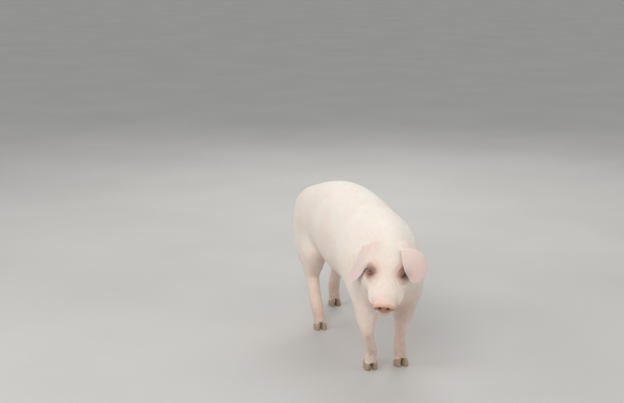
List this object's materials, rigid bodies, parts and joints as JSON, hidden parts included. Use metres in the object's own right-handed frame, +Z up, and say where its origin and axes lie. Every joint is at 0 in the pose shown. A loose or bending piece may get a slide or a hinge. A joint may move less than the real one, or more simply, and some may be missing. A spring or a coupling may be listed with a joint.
{
  "type": "pig figure",
  "caption": "Life-size still model of a growing white pig, walking with its head lowered and turned to one side, ears hanging forward and tail curled.",
  "frame": {"origin": "on the floor, in the middle of the box round the pig", "axes": "+Z up; the pig faces -Y, and its left side is +X"},
  "size_m": [0.3428, 1.184, 0.6297],
  "materials": {
    "skin": "soft matt skin under short white bristles",
    "pink_skin": "thin pink skin, slightly moist on the snout",
    "horn": "dull horn, scuffed at the tips",
    "eye": "wet and glossy"
  },
  "bodies": {
    "root": {"trunk": "skin", "neck": "skin", "head": "skin", "jaw": "skin", "snout": "pink_skin", "ear_left": "pink_skin", "ear_right": "pink_skin", "tail_base": "pink_skin", "tail_tip": "pink_skin", "eye_left": "eye", "eye_right": "eye", "foreleg_left_upper": "skin", "foreleg_left_lower": "skin", "foreleg_left_claw_outer": "horn", "foreleg_left_dewclaw_outer": "horn", "foreleg_left_claw_inner": "horn", "foreleg_left_dewclaw_inner": "horn", "foreleg_right_upper": "skin", "foreleg_right_lower": "skin", "foreleg_right_claw_outer": "horn", "foreleg_right_dewclaw_outer": "horn", "foreleg_right_claw_inner": "horn", "foreleg_right_dewclaw_inner": "horn", "hindleg_left_upper": "skin", "hindleg_left_lower": "skin", "hindleg_left_claw_outer": "horn", "hindleg_left_dewclaw_outer": "horn", "hindleg_left_claw_inner": "horn", "hindleg_left_dewclaw_inner": "horn", "hindleg_right_upper": "skin", "hindleg_right_lower": "skin", "hindleg_right_claw_outer": "horn", "hindleg_right_dewclaw_outer": "horn", "hindleg_right_claw_inner": "horn", "hindleg_right_dewclaw_inner": "horn"}
  },
  "joints": []
}
